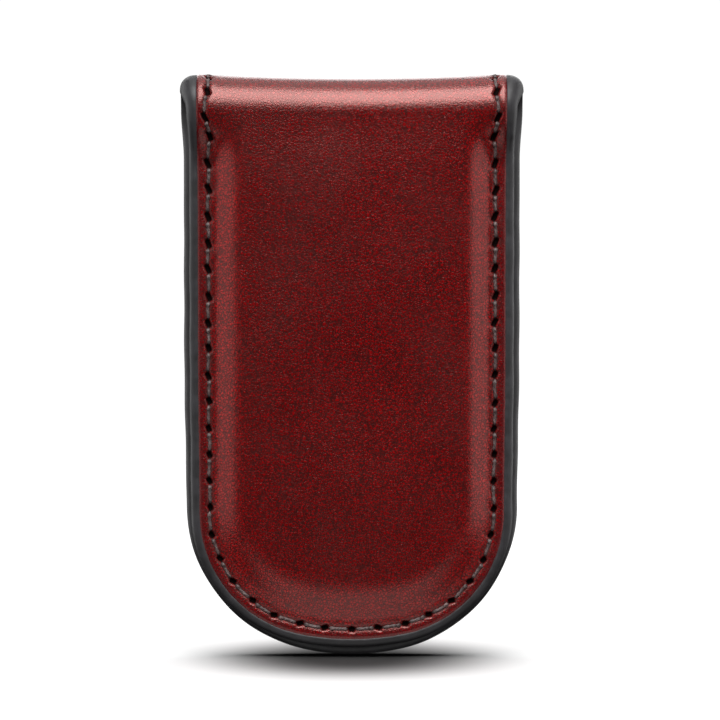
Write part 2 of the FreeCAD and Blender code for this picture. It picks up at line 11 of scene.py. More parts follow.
import bmesh
import bpy
import numpy as np
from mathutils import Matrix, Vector


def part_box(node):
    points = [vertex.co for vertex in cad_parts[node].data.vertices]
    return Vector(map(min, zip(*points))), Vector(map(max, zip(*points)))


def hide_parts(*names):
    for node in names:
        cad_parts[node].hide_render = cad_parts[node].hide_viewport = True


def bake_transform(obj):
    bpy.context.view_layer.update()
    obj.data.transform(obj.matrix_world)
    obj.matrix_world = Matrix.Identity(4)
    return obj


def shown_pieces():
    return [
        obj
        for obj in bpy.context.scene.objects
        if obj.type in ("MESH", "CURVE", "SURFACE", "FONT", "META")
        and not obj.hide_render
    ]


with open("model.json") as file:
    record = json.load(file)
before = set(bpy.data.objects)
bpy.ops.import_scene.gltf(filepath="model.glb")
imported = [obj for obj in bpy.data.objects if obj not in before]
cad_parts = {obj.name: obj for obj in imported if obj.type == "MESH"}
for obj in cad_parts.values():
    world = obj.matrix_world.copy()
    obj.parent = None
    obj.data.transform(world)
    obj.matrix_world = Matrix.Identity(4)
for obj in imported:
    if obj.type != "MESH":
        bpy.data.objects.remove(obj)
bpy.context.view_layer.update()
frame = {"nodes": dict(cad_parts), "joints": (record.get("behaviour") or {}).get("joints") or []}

MM = 0.001


def node_box(node):
    """Lowest and highest corner of a CAD node, in millimetres."""
    low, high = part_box(node)
    return np.array(low) / MM, np.array(high) / MM


# ---------------------------------------------------------------- sizes of the strip, mm
FOLD_Z = 72.0                 # the fold's centre line
FLARE = 8.0                   # height over which the leaves spread below the fold
THICKNESS = 2.2               # of the whole strip
LEATHER = 1.3                 # of the outer leather alone
LINING = 0.85                 # of the lining, less the glue
OUTER_RADIUS = node_box("fold_2_outer_leather")[1][2] - FOLD_Z
INNER_RADIUS = OUTER_RADIUS - THICKNESS
GAP = node_box("back_lining")[0][1]
PLATEAU = OUTER_RADIUS        # height of the pads' tops above the middle plane
FOLD_HALF_WIDTH = 20.3        # leather only, without the edge paint
FOLD_PAINT = node_box("fold_2_painted_edge")[1][0] - FOLD_HALF_WIDTH
SAG = 0.6                     # the fold's middle lies lower than its ends
CREST = -OUTER_RADIUS * math.pi / 2
CUT = CREST / 2
BAND = 6.0                    # width of the strip's border that follows the outline
TAPER = 13.0                  # length below the fold over which the leaf narrows into it
STITCH = 3.47                 # stitch pitch
UNEVEN = 0.15                 # how far a hole may be off its place
HOLE_SLANT = math.radians(24)
HOLE_DEPTH = 0.6
GROOVE_DEPTH = 0.12           # of the dent along the seam
EDGE_ROUNDING = 0.18          # how far the leather's edge dips under the paint
CROWN = 0.13                  # how far the pad's top bulges
THREAD = 0.23                 # thread radius

PARTS = ("back", "fold_back", "fold_front", "front")


def smooth(value, low=0.0, high=1.0):
    """Smoothstep of value between low and high."""
    share = np.clip((np.asarray(value, float) - low) / (high - low), 0, 1)
    return share * share * (3 - 2 * share)


def bell(value, middle, width):
    """Bell curve round middle."""
    return np.exp(-(((value - middle) / width) ** 2))


class Arch:
    """Upright sides joined by a corner arc, a toe arc and a corner arc."""

    def __init__(self, half_width, base, corner, toe):
        self.half_width = half_width
        self.corner = corner
        self.toe = toe
        self.reach = half_width - corner
        self.turn = math.acos(self.reach / (toe - corner))
        self.toe_z = base + toe
        self.corner_z = self.toe_z - (toe - corner) * math.sin(self.turn)

    def depth(self, x, z):
        """Distance inside the outline; negative outside."""
        across = np.abs(x)
        turn = np.arctan2(self.corner_z - z, across - self.reach)
        in_corner = self.corner - np.hypot(across - self.reach, z - self.corner_z)
        in_toe = self.toe - np.hypot(across, z - self.toe_z)
        below = np.where(turn < self.turn, in_corner, in_toe)
        return np.where(z >= self.corner_z, self.half_width - across, below)


PAD_TOP = Arch(12.9, 12.9, 8.5, 50.0)
PAD_SHIFT = 0.45              # the pad's top lies a little to the right


def spread(z):
    """Distance of the lining's face from the middle plane: two parabolas below the fold."""
    share = np.clip((z - FOLD_Z) / FLARE + 1, 0, 1)
    bend = np.where(share < 0.5, 2 * share**2, 1 - 2 * (1 - share) ** 2)
    return GAP + (INNER_RADIUS - GAP) * bend


class Leaf:
    """One leaf of the strip with the quarter turn of the fold above it.

    A point is given by its distance along the seam, negative in the fold, and its depth inside
    the leather's edge, or by x and its distance down the strip from the fold's start.
    """

    def __init__(self, sign, outline, upper_width, paint, seam_inset, first_holes, seed):
        self.sign = sign
        self.outline = outline
        self.upper_width = upper_width
        self.paint = paint
        self.seam_inset = seam_inset
        self.seed = seed
        self.side_length = FOLD_Z - outline.corner_z
        self.corner_length = (outline.corner - seam_inset) * outline.turn
        toe_length = (outline.toe - seam_inset) * (math.pi / 2 - outline.turn)
        self.half_length = self.side_length + self.corner_length + toe_length
        count = round((self.half_length - first_holes[-1]) / STITCH)
        even = np.linspace(first_holes[-1], self.half_length, count + 1)
        jitter = np.random.default_rng(seed).uniform(-UNEVEN, UNEVEN, (2, count + 1))
        jitter[:, [0, -1]] = 0
        first = (CREST,) + first_holes[:-1]
        self.holes = {1: np.append(first, even + jitter[0]), -1: np.append(first, even + jitter[1])}

    def width(self, along):
        """Half the leather's width on the straight sides and in the fold."""
        lower = self.outline.half_width
        above_corner = smooth(self.side_length - along, 0, 20)
        into_fold = smooth(-along, -TAPER, 0)
        side = lower + (self.upper_width - lower) * above_corner
        return side + (FOLD_HALF_WIDTH - self.upper_width) * into_fold

    def paint_width(self, along, side):
        """Width of the painted edge; it thickens into the fold's rounded ends."""
        narrowed = (self.upper_width - FOLD_HALF_WIDTH) * smooth(-along, -TAPER, 0)
        gain = FOLD_PAINT - self.paint - (self.upper_width - FOLD_HALF_WIDTH)
        # The back's bead is full below the fold, the front's only near the crest.
        if self.sign > 0:
            swell = smooth(-along, -7, -0.5)
        else:
            swell = 0.3 * smooth(-along, -5, 0) + 0.7 * smooth(-along, -0.5, 4.5)
        uneven = 0.03 * np.sin(0.7 * along + side) * smooth(along, 8, 20)
        return self.paint + narrowed + gain * swell + uneven * smooth(self.half_length - along, 0, 10)

    def seam(self, along, side):
        """Depth of the seam inside the leather's edge; it wanders where the flange flares."""
        inset = self.seam_inset + (1.6 - self.seam_inset) * smooth(-along, -TAPER, 0)
        inset = inset - 0.42 * bell(along, 0.6, 2.2) + 0.30 * bell(along, 3.7, 1.3)
        ripple = 0.05 * np.sin(0.9 * along + side) + 0.03 * np.sin(2.3 * along - side)
        return inset + ripple * smooth(self.half_length - along, 0, 8)

    def outline_point(self, along, depth):
        """Distance across and down the strip of a point beside the seam."""
        outline = self.outline
        past_side = along - self.side_length
        past_corner = past_side - self.corner_length
        turn = past_side / (outline.corner - self.seam_inset)
        toe_turn = outline.turn + past_corner / (outline.toe - self.seam_inset)
        x_corner = outline.reach + (outline.corner - depth) * np.cos(turn)
        z_corner = outline.corner_z - (outline.corner - depth) * np.sin(turn)
        x_toe = (outline.toe - depth) * np.cos(toe_turn)
        z_toe = outline.toe_z - (outline.toe - depth) * np.sin(toe_turn)
        round_x = np.where(past_corner <= 0, x_corner, x_toe)
        round_z = np.where(past_corner <= 0, z_corner, z_toe)
        x = np.where(past_side <= 0, self.width(along) - depth, round_x)
        down = np.where(past_side <= 0, along + 0 * depth, FOLD_Z - round_z)
        return x, down

    def climb(self, x, down):
        """Share of the way from the moulded pad's foot to its top."""
        z = FOLD_Z - down
        from_foot = np.clip(self.outline.depth(x, z) - self.seam_inset - 0.42, 0, None)
        to_top = np.clip(-PAD_TOP.depth(x - PAD_SHIFT, z), 0, None)
        return from_foot / np.maximum(from_foot + to_top, 1e-6)

    def pad(self, x, down):
        """Height of the moulded pad above the flange."""
        z = FOLD_Z - down
        crown = CROWN * np.clip(1 - (x / 15) ** 2, 0, 1) * smooth(z, 12, 26)
        uneven = 0.025 * (np.sin(0.31 * x + 0.17 * z + self.seed) + np.sin(0.13 * x - 0.29 * z + 2))
        full = PLATEAU - spread(z) - THICKNESS
        climb = self.climb(x, down)
        share = 1 - (1 - climb) ** 4 * (1 + 4 * climb)
        return np.where(down > 0, (full + (crown + uneven) * smooth(down, 0, 12)) * share, 0)

    def slope(self, x, down):
        """One on the pad's slopes, nought on top and flange: where the leather's colour is painted
        lighter, a painted highlight of the side lights.
        """
        to_one = 9.5
        climb = self.climb(x, down)
        return to_one * climb * (1 - climb) ** 3 * smooth(down, 1, 6)

    @staticmethod
    def hole_stretch(along):
        """How much longer a hole is near the fold, where the leather is pulled, than at the toe."""
        return 1.6 - 0.6 * smooth(along, 10, 50)

    def relief(self, along, depth, side):
        """Height of groove, puckers and holes beside the seam, and how deep in shade a point is."""
        places = self.holes[side]
        index = np.clip(np.searchsorted(places, along, side="right") - 1, 0, len(places) - 2)
        span = places[index + 1] - places[index]
        past = along - places[index]
        past_nearest = np.where(past < span / 2, past, past - span)
        off = depth - self.seam(along, side)
        lengthwise = past_nearest * math.cos(HOLE_SLANT) + off * math.sin(HOLE_SLANT)
        crosswise = off * math.cos(HOLE_SLANT) - past_nearest * math.sin(HOLE_SLANT)
        lengthwise = lengthwise / self.hole_stretch(along)
        hole = np.exp(-((lengthwise / 0.44) ** 4) - (crosswise / 0.32) ** 4)
        # Painted shade: a mark for darkening the holes and the dent along the seam, where shade falls; it
        # is kept as the mesh's hole mark.
        shade = np.exp(-((lengthwise / 0.46) ** 4) - (crosswise / 0.34) ** 4)
        shade = np.maximum(shade, 0.55 * bell(off, 0, 0.33))
        puff = np.sin(math.pi * np.clip(past / span, 0, 1)) ** 2
        groove = -GROOVE_DEPTH * bell(off, 0, 0.34)
        pillows = 0.04 * bell(off, -0.8, 0.45) * (0.3 + 0.7 * puff)
        pillows = pillows + 0.06 * bell(off, 0.75, 0.36) * (0.2 + 0.8 * puff)
        rounded = -EDGE_ROUNDING * bell(depth, 0, 0.24)
        return (groove + pillows) * (1 - hole) - HOLE_DEPTH * hole + rounded, shade


FRONT = Leaf(-1, Arch(20.05, 2.25, 16.5, 35.0), 20.2, 1.0, 1.5, (-5.2, -2.4, 1.3, 3.7, 7.3), 5)
BACK = Leaf(1, Arch(20.65, 1.1, 18.4, 28.3), 20.9, 1.1, 2.3, (-3.7, -0.2, 3.2), 9)
LEAVES = ((FRONT, "fold_front", "front"), (BACK, "fold_back", "back"))


def strip_points(leaf, x, down, height, hole=0.0, rim=0.0, slope=0.0):
    """Points x, y, z with their places on the flat strip and three marks: rows of nine numbers."""
    x, down, height, hole, rim, slope = np.broadcast_arrays(x, down, height, hole, rim, slope)
    angle = -np.minimum(down, 0) / OUTER_RADIUS
    flat_z = FOLD_Z - np.maximum(down, 0)
    radius = spread(flat_z) + height
    y = leaf.sign * radius * np.cos(angle)
    z = flat_z + radius * np.sin(angle)
    hollow = np.clip(1 - (x / FOLD_HALF_WIDTH) ** 2, 0, 1)
    z = z - SAG * hollow * smooth(z, FOLD_Z - 14, FOLD_Z + 1)
    return np.stack([x, y, z, x, leaf.sign * (down - CREST), height, hole, rim, slope], -1)


# ---------------------------------------------------------------- meshes
class Builder:
    """Gathers points and faces of the whole strip, with the part that each face belongs to."""

    def __init__(self):
        self.points = []
        self.faces = []
        self.parts = []
        self.count = 0

    def add(self, points, faces, part):
        """Adds points and faces that number them from nought."""
        points = points.reshape(-1, 9)
        self.points.append(points)
        self.faces += [[self.count + corner for corner in face] for face in faces]
        self.parts += [part] * len(faces)
        self.count += len(points)

    def grid(self, points, part, closed=False):
        """Quads of a grid of points; a closed grid's last column joins its first."""
        rows, columns = points.shape[:2]
        numbers = np.arange(rows * columns).reshape(rows, columns)
        if closed:
            numbers = np.concatenate([numbers, numbers[:, :1]], 1)
        corners = [numbers[:-1, :-1], numbers[1:, :-1], numbers[1:, 1:], numbers[:-1, 1:]]
        self.add(points, np.stack(corners, -1).reshape(-1, 4).tolist(), part)

    def polygon(self, points, part):
        """One face."""
        self.add(points, [list(range(len(points)))], part)

    def welded(self):
        """Points without doubles, and the faces numbered to suit."""
        points = np.concatenate(self.points)
        keys = np.round(points[:, :3] * 2e4 + 0.1234).astype(np.int64)
        _, first, number = np.unique(keys, axis=0, return_index=True, return_inverse=True)
        number = number.ravel().tolist()
        faces = [list(dict.fromkeys(number[corner] for corner in face)) for face in self.faces]
        return points[first], faces

    def pieces(self, kind):
        """One closed mesh object for each part, shaded as the uncut strip is."""
        points, faces = self.welded()
        whole = bmesh.new()
        corners = [whole.verts.new(point[:3] * MM) for point in points]
        whole.verts.index_update()
        made = []
        for face, part in zip(faces, self.parts):
            if len(face) > 2:
                made.append((whole.faces.new([corners[corner] for corner in face]), part))
        bmesh.ops.recalc_face_normals(whole, faces=whole.faces)
        whole.normal_update()
        normals = np.array([corner.normal for corner in corners])
        objects = {}
        for wanted in PARTS:
            chosen = [[corner.index for corner in face.verts] for face, part in made if part == wanted]
            objects[wanted] = cut_piece(f"{wanted}_{kind}", points, chosen, normals)
        whole.free()
        return objects


def cut_piece(name, points, faces, normals):
    """A mesh object of some of the strip's faces, with its cut ends closed by fans."""
    used = sorted({corner for face in faces for corner in face})
    renumber = {old: new for new, old in enumerate(used)}
    part = bmesh.new()
    corners = [part.verts.new(points[old][:3] * MM) for old in used]
    for face in faces:
        part.faces.new([corners[renumber[corner]] for corner in face])
    open_edges = [edge for edge in part.edges if len(edge.link_faces) == 1]
    filled = bmesh.ops.holes_fill(part, edges=open_edges, sides=0)["faces"]
    fans = bmesh.ops.poke(part, faces=filled)
    caps = set(fans["faces"])
    bmesh.ops.recalc_face_normals(part, faces=part.faces)
    is_cap = [face in caps for face in part.faces]
    mesh = bpy.data.meshes.new(name)
    part.to_mesh(mesh)
    part.free()
    marks = np.concatenate([points[used], np.zeros((len(fans["verts"]), 9))])
    flat_place = mesh.attributes.new("strip", "FLOAT_VECTOR", "POINT")
    flat_place.data.foreach_set("vector", marks[:, 3:6].astype(np.float32).ravel())
    # The hole mark carries painted shade in the holes and along the seam; the slope mark carries the
    # painted highlight on the pads' slopes.
    for column, mark in ((6, "hole"), (7, "rim"), (8, "slope")):
        layer = mesh.attributes.new(mark, "FLOAT", "POINT")
        layer.data.foreach_set("value", marks[:, column].astype(np.float32))
    mesh.polygons.foreach_set("use_smooth", [True] * len(mesh.polygons))
    corner_normals = []
    for polygon, cap in zip(mesh.polygons, is_cap):
        for corner in polygon.vertices:
            corner_normals.append(tuple(polygon.normal if cap else normals[used[corner]]))
    mesh.normals_split_custom_set(corner_normals)
    thing = bpy.data.objects.new(name, mesh)
    bpy.context.scene.collection.objects.link(thing)
    return thing


class Skin:
    """The strip's outer face or its lining's face, closed by a plain hidden face."""

    def __init__(self, outside, steps, margin, inner):
        self.outside = outside
        self.steps = np.array(steps)
        self.margin = np.array(margin)
        self.inner = np.array(inner)

    def rows(self, leaf, side):
        """Distances along the seam from the crest to the toe, each stitch divided alike."""
        holes = leaf.holes[side]
        rows = holes[:-1, None] + np.diff(holes)[:, None] * self.steps
        rows = np.append(rows.ravel(), holes[-1])
        for exact in (CUT, 0.0):
            rows[np.argmin(np.abs(rows - exact))] = exact
        return rows

    def surface(self, leaf, x, down, relief=0.0, hole=0.0, rim=0.0):
        """Points of the face that shows."""
        if self.outside:
            height = THICKNESS + leaf.pad(x, down) + relief
            return strip_points(leaf, x, down, height, hole, rim, leaf.slope(x, down))
        return strip_points(leaf, x, down, -0.75 * relief, hole, rim)

    def hidden(self, leaf, x, down):
        """Points of the face that is glued down."""
        if self.outside:
            return strip_points(leaf, x, down, THICKNESS - LEATHER + leaf.pad(x, down))
        return strip_points(leaf, x, down, LINING)

    def border(self, leaf, rows, side):
        """Grid of points that follows the outline, from the edge inwards."""
        along = rows[:, None]
        seam = leaf.seam(along, side)
        depth = np.concatenate([seam * self.margin, seam + (BAND - seam) * self.inner], 1)
        x, down = leaf.outline_point(along, depth)
        # The second value is painted shade for the holes and the seam's dent.
        relief, hole = leaf.relief(np.broadcast_to(along, depth.shape), depth, side)
        return self.surface(leaf, side * x, down, relief, hole, smooth(-depth, -1.1, 0))

    def build(self):
        """Both leaves and both halves of the fold."""
        builder = Builder()
        for leaf, fold_part, leaf_part in LEAVES:
            rows = {side: self.rows(leaf, side) for side in (1, -1)}
            start = int(np.flatnonzero(rows[1] == 0.0)[0])
            cut = int(np.flatnonzero(rows[1] == CUT)[0])
            right, left = (self.border(leaf, rows[side], side) for side in (1, -1))
            around = np.concatenate([right[start:], left[start:-1][::-1]])
            middle_turn = leaf.side_length + 0.5 * leaf.corner_length
            corner = int(np.searchsorted(rows[1], middle_turn)) - start
            low_edge = around[corner:len(around) - corner, -1]
            steps = np.hypot(*np.diff(low_edge[:, 3:5], axis=0).T)
            share = np.concatenate([[0], np.cumsum(steps)]) / steps.sum()
            inner_x = (FOLD_HALF_WIDTH - BAND) * (1 - 2 * share)
            middle = self.surface(leaf, inner_x[None, 1:-1], rows[1][:start + 1, None])
            fold = np.concatenate([right[:start + 1], middle, left[:start + 1, ::-1]], 1)
            builder.grid(fold[:cut + 1], fold_part)
            builder.grid(fold[cut:], leaf_part)
            builder.grid(around, leaf_part)
            loops = right.shape[1]
            top_edge = fold[-1, loops - 1:loops + len(share) - 1]
            side_share = rows[1][start:start + corner + 1] / rows[1][start + corner]
            place = self.patch(around[:, -1], top_edge, low_edge, share, side_share)
            down = leaf.sign * place[..., 1] + CREST
            builder.grid(self.surface(leaf, place[..., 0], down), leaf_part)
            self.close(builder, leaf, rows, (right, left), cut, fold_part, leaf_part)
        return builder

    @staticmethod
    def patch(inner_edge, top_edge, low_edge, share, side_share):
        """Places on the flat strip that fill the space inside the border."""
        across = share[None, :, None]
        downward = side_share[:, None, None]
        right = inner_edge[:len(side_share), None, 3:5]
        left = inner_edge[::-1][:len(side_share), None, 3:5]
        top = top_edge[None, :, 3:5]
        low = low_edge[None, :, 3:5]
        sides = (1 - across) * right + across * left
        ends = (1 - downward) * top + downward * low
        top_line = (1 - across) * top[:, :1] + across * top[:, -1:]
        low_line = (1 - across) * low[:, :1] + across * low[:, -1:]
        return sides + ends - (1 - downward) * top_line - downward * low_line

    def close(self, builder, leaf, rows, borders, cut, fold_part, leaf_part):
        """Walls along the edge and a ladder of plain faces between them."""
        walls = []
        for side, border in zip((1, -1), borders):
            x, down = leaf.outline_point(rows[side], 0.0)
            wall = np.stack([border[:, 0], self.hidden(leaf, side * x, down)], 1)
            builder.grid(wall[:cut + 1], fold_part)
            builder.grid(wall[cut:], leaf_part)
            walls.append(wall[:, 1])
        right, left = walls
        last = len(right) - 1
        rungs = sorted({0, cut, *range(4, last - 3, 4)} - {cut - 1, cut + 1})
        share = np.linspace(0, 1, 12)[:, None]
        ladder = {}
        for rung in rungs:
            place = (1 - share) * right[rung, 3:5] + share * left[rung, 3:5]
            down = leaf.sign * place[:, 1] + CREST
            ladder[rung] = self.hidden(leaf, place[:, 0], down)
            ladder[rung][0] = right[rung]
            ladder[rung][-1] = left[rung]
        for upper, lower in zip(rungs[:-1], rungs[1:]):
            part = fold_part if lower <= cut else leaf_part
            high, low = ladder[upper], ladder[lower]
            between = slice(upper + 1, lower)
            builder.polygon(np.concatenate([high[:2], low[1::-1], right[between][::-1]]), part)
            builder.polygon(np.concatenate([high[-2:], left[between], low[:-3:-1]]), part)
            builder.grid(np.stack([high[1:-1], low[1:-1]]), part)
        end = rungs[-1]
        rest = [ladder[end], left[end + 1:], right[end + 1:-1][::-1]]
        builder.polygon(np.concatenate(rest), leaf_part)


def painted_edge():
    """A rounded bead of paint along both leaves' edges and the fold's two ends."""
    builder = Builder()
    quarter = np.linspace(0, math.pi / 2, 12)
    bottom = 0.03
    fold_rows = 14
    for leaf, fold_part, leaf_part in LEAVES:
        lower = np.linspace(CUT, leaf.half_length, 300)[1:]
        along = np.concatenate([np.linspace(CREST, CUT, fold_rows), lower])[:, None]
        # The bead is widest half way up the strip, and lower in the fold.
        widest = 1.15 - 0.8 * smooth(-along, -5, 2)
        inside = np.full_like(along, 0.3)
        under = widest - (widest - bottom) * np.cos(quarter)
        beads = {}
        for side in (1, -1):
            ragged = np.sin(1.7 * along + 2 * side) + 0.7 * np.sin(4.1 * along - side)
            top = THICKNESS - 0.06 + 0.014 * ragged * smooth(leaf.half_length - along, 0, 5)
            over = widest + (top - widest) * np.cos(quarter)
            height = [top - 0.1, over, under[:, -2::-1], inside * 0 + bottom + 0.1]
            out = -leaf.paint_width(along, side) * np.sin(quarter) ** 0.9
            depth = np.concatenate([inside, out, out[:, -2::-1], inside], 1)
            x, down = leaf.outline_point(along, depth)
            beads[side] = strip_points(leaf, side * x, down, np.concatenate(height, 1))
            builder.grid(beads[side][:fold_rows], fold_part, closed=True)
        around = [beads[1][fold_rows - 1:], beads[-1][fold_rows - 1:-1][::-1]]
        builder.grid(np.concatenate(around), leaf_part, closed=True)
    return builder


def stitch(leaf, side, start, end, outside, rng):
    """One stitch from hole to hole: a twisted three-ply thread with its ends in the leather."""
    rows, ring = (34, 18) if outside else (18, 12)
    share = np.linspace(0, 1, rows)
    # It starts and ends inside its holes, further in where they are longer.
    first = start + 0.32 * leaf.hole_stretch(start)
    last = end - 0.28 * leaf.hole_stretch(end)
    along = first + (last - first) * share
    swell = 0.12 * bell(share, 0.22, 0.07) + 0.03 * bell(share, 0.68, 0.12)
    dive = 0.8 * (1 - smooth(share, 0.0, 0.2)) + 0.8 * smooth(share, 0.8, 1.0)
    rise = -0.13 + swell - dive
    lean = rng.uniform(-0.05, 0.05) + rng.uniform(-0.09, 0.09) * (share - 0.5)
    x, down = leaf.outline_point(along, leaf.seam(along, side) + lean)
    height = THICKNESS + rise if outside else 0.10 - 0.55 * rise
    line = strip_points(leaf, side * x, down, height)
    beyond = strip_points(leaf, side * x, down, height + (0.1 if outside else -0.1))
    tangent = np.gradient(line[:, :3], axis=0)
    tangent /= np.linalg.norm(tangent, axis=1)[:, None]
    across = np.cross(tangent, beyond[:, :3] - line[:, :3])
    across /= np.linalg.norm(across, axis=1)[:, None]
    up = np.cross(across, tangent)
    angle = np.linspace(0, 2 * math.pi, ring, endpoint=False)[None, :]
    twist = (along[:, None] - start) * 2.6 + rng.uniform(0, 6)
    lobes = 0.78 + 0.22 * np.abs(np.cos(1.5 * (angle - twist))) ** 0.8
    fatness = 1 + 0.18 * bell(share, 0.2, 0.12) - 0.2 * smooth(share, 0.9, 1.0)
    reach = THREAD * (1.0 if outside else 0.72) * fatness[:, None] * lobes
    tube = np.repeat(line[:, None, :], ring, 1)
    tube[..., :3] += (reach * np.cos(angle) * 1.06)[..., None] * across[:, None]
    tube[..., :3] += (reach * np.sin(angle) * 0.92)[..., None] * up[:, None]
    tube[..., 3] += reach * np.cos(angle)
    tube[..., 5] = reach * np.sin(angle)
    # Painted shade: the thread is marked to go black where it dives into its holes.
    tube[..., 6] = 1 - smooth(rise, -0.35, -0.05)[:, None]
    return tube


def seam_thread():
    """Every stitch on both faces of the strip."""
    builder = Builder()
    for leaf, fold_part, leaf_part in LEAVES:
        rng = np.random.default_rng(leaf.seed + 40)
        for side in (1, -1):
            holes = leaf.holes[side]
            for outside in (True, False):
                for start, end in zip(holes[:-1], holes[1:]):
                    part = fold_part if (start + end) / 2 < CUT else leaf_part
                    tube = stitch(leaf, side, start, end, outside, rng)
                    builder.grid(tube, part, closed=True)
                    builder.polygon(tube[0], part)
                    builder.polygon(tube[-1], part)
    return builder


# Places of the grid's lines, closer together at the holes, the seam and the edge, as shares of
# one stitch, of the margin outside the seam and of the border inside it.
STITCH_STEPS = (0, 0.045, 0.09, 0.13, 0.17, 0.22, 0.3, 0.4, 0.5, 0.6, 0.7, 0.78, 0.83, 0.87, 0.91, 0.955)
MARGIN_STEPS = (0, 0.04, 0.12, 0.25, 0.38, 0.5, 0.6, 0.69, 0.76, 0.82, 0.88, 0.94, 1)
INNER_STEPS = (0.025, 0.05, 0.075, 0.1, 0.13, 0.165, 0.21, 0.27, 0.35, 0.45, 0.57, 0.7, 0.85, 1)
leather = Skin(True, STITCH_STEPS, MARGIN_STEPS, INNER_STEPS).build().pieces("leather")
lining = Skin(False, STITCH_STEPS[::2], MARGIN_STEPS[::2], INNER_STEPS[1::2]).build().pieces("lining_face")
paint = painted_edge().pieces("edge_paint")
thread = seam_thread().pieces("thread")


# ---------------------------------------------------------------- materials
class Shader:
    """A procedural material made of nodes; lengths in its textures are in millimetres."""

    def __init__(self, name):
        self.material = bpy.data.materials.new(name)
        self.material.use_nodes = True
        self.tree = self.material.node_tree
        self.surface = self.tree.nodes["Principled BSDF"]

    def set(self, socket, value):
        """Links a socket to another, or gives it a value."""
        if isinstance(value, bpy.types.NodeSocket):
            self.tree.links.new(value, socket)
        else:
            socket.default_value = value

    def node(self, kind, settings=None, **inputs):
        """A node with settings; an underscore in an input's name stands for a space."""
        node = self.tree.nodes.new(kind)
        for key, value in (settings or {}).items():
            setattr(node, key, value)
        for key, value in inputs.items():
            self.set(node.inputs[key.replace("_", " ")], value)
        return node

    def mark(self, name, output="Fac"):
        """A mark kept on the mesh's points."""
        return self.node("ShaderNodeAttribute", {"attribute_name": name}).outputs[output]

    def calc(self, operation, first, second=0.0):
        """Result of one calculation."""
        node = self.node("ShaderNodeMath", {"operation": operation})
        self.set(node.inputs[0], first)
        self.set(node.inputs[1], second)
        return node.outputs[0]

    def total(self, *terms):
        """Sum of pairs of a socket and its weight."""
        result = 0.0
        for value, weight in terms:
            result = self.calc("ADD", self.calc("MULTIPLY", value, weight), result)
        return result

    def ramp(self, value, low, high, to_low=0.0, to_high=1.0):
        """Smoothstep of value from low and high to another range."""
        node = self.node("ShaderNodeMapRange", {"interpolation_type": "SMOOTHSTEP"})
        names = ("Value", "From Min", "From Max", "To Min", "To Max")
        for name, given in zip(names, (value, low, high, to_low, to_high)):
            self.set(node.inputs[name], given)
        return node.outputs["Result"]

    def mix(self, share, first, second, blend="MIX"):
        """Mix of two colours."""
        node = self.node("ShaderNodeMix", {"data_type": "RGBA", "blend_type": blend})
        self.set(node.inputs["Factor"], share)
        self.set(node.inputs[6], first)
        self.set(node.inputs[7], second)
        return node.outputs[2]

    def noise(self, place, size, detail=3.0, roughness=0.55, stretch=None):
        """Noise whose features are about size across."""
        if stretch:
            stretched = self.node("ShaderNodeVectorMath", {"operation": "MULTIPLY"}, Vector=place)
            stretched.inputs[1].default_value = stretch
            place = stretched.outputs[0]
        inputs = {"Vector": place, "Scale": 1 / size, "Detail": detail, "Roughness": roughness}
        return self.node("ShaderNodeTexNoise", **inputs).outputs[0]

    def bump(self, height, strength=1.0):
        """Bump from a height in millimetres."""
        return self.node("ShaderNodeBump", Strength=strength, Distance=MM, Height=height).outputs[0]

    def finish(self, **inputs):
        """Gives the surface its inputs."""
        for key, value in inputs.items():
            self.set(self.surface.inputs[key.replace("_", " ")], value)
        return self.material


def colour(red, green, blue):
    """Linear colour of screen values from 0 to 255."""
    return tuple((value / 255) ** 2.2 for value in (red, green, blue)) + (1.0,)


# Painted shade: near black for the stitch holes and the dent under the thread, where shade falls.
PAINTED_HOLE_SHADE = (0.002, 0.001, 0.001, 1)
DARK_GRAIN = (0.012, 0.001, 0.001, 1)


def grain_creases(shader, place):
    """Nought in the fine creases between the grain's pebbles, one on the pebbles."""
    warp = shader.node("ShaderNodeTexNoise", Vector=place, Scale=2.2, Detail=2.0)
    warped = shader.node("ShaderNodeVectorMath", {"operation": "MULTIPLY_ADD"})
    shader.set(warped.inputs[0], warp.outputs["Color"])
    warped.inputs[1].default_value = (0.35, 0.35, 0.35)
    shader.set(warped.inputs[2], place)
    cell_inputs = {"Vector": warped.outputs[0], "Scale": 2.6}
    cells = shader.node("ShaderNodeTexVoronoi", {"feature": "DISTANCE_TO_EDGE"}, **cell_inputs)
    return shader.ramp(cells.outputs["Distance"], 0.0, 0.22)


